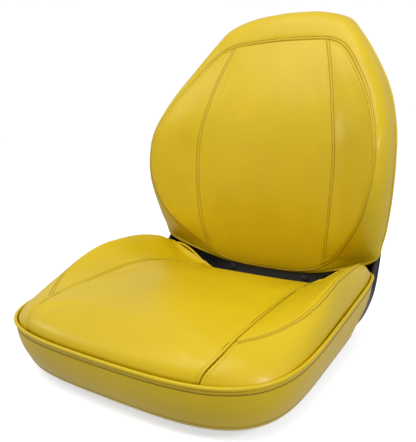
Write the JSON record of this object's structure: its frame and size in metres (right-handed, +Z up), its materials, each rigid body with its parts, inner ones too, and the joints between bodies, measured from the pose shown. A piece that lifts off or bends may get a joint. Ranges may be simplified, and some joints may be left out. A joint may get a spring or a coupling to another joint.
{
  "type": "riding mower seat",
  "caption": "High-back bucket seat for a riding mower: bolstered vinyl cushions on a moulded shell, with steel mounting rails and a spring-loaded presence switch.",
  "frame": {"origin": "centre of the four mounting holes, on the underside of the rails", "axes": "+Z up, +Y towards the back of the seat, +X to the right when seen from the front"},
  "size_m": [0.5058, 0.6044, 0.6046],
  "materials": {
    "yellow_vinyl": "yellow marine-grade upholstery vinyl, fine grain, satin sheen, dark brown topstitching",
    "shell_plastic": "black moulded polypropylene with a fine leather texture",
    "foam": "cream moulded polyurethane foam",
    "plywood": "birch plywood board, unfinished",
    "rail_steel": "satin black powder-coated steel",
    "zinc_steel": "bright zinc plate",
    "black_steel": "black oxide",
    "switch_plastic": "black glass-filled nylon",
    "cap_plastic": "red moulded cap",
    "plunger_plastic": "natural white acetal",
    "black_rubber": "soft black rubber",
    "terminal_brass": "tinned brass blades"
  },
  "bodies": {
    "seat": {"seat_shell": "shell_plastic", "left_rail": "rail_steel", "right_rail": "rail_steel", "weld_nuts": "zinc_steel", "rail_bolts": "zinc_steel", "rail_washers": "zinc_steel", "rail_nuts": "zinc_steel", "seat_base_board": "plywood", "seat_t_nuts": "zinc_steel", "seat_cushion_screws": "zinc_steel", "seat_screw_washers": "zinc_steel", "seat_foam": "foam", "seat_centre_panel": "yellow_vinyl", "left_bolster_panel": "yellow_vinyl", "right_bolster_panel": "yellow_vinyl", "left_outer_panel": "yellow_vinyl", "right_outer_panel": "yellow_vinyl", "seat_boxing": "yellow_vinyl", "seat_bead": "yellow_vinyl", "back_board": "plywood", "back_t_nuts": "zinc_steel", "back_cushion_screws": "zinc_steel", "back_screw_washers": "zinc_steel", "back_foam": "foam", "back_centre_panel": "yellow_vinyl", "left_wing_panel": "yellow_vinyl", "right_wing_panel": "yellow_vinyl", "back_border": "yellow_vinyl", "back_hem": "yellow_vinyl", "waist_screws": "black_steel", "waist_washers": "black_steel", "waist_nuts": "zinc_steel", "switch_body": "switch_plastic", "switch_cap": "cap_plastic", "switch_spring": "zinc_steel", "switch_gasket": "black_rubber", "switch_terminals": "terminal_brass", "drain_grommet": "black_rubber"},
    "plunger": {"switch_plunger": "plunger_plastic"}
  },
  "joints": [
    {"name": "plunger_slide", "type": "slide", "parent": "seat", "child": "plunger", "axis": [0, 0, 1], "range_m": [-0.004, 0], "stiffness_N_per_m": 600, "springref_m": 0.004, "deforming": ["switch_spring"]}
  ]
}
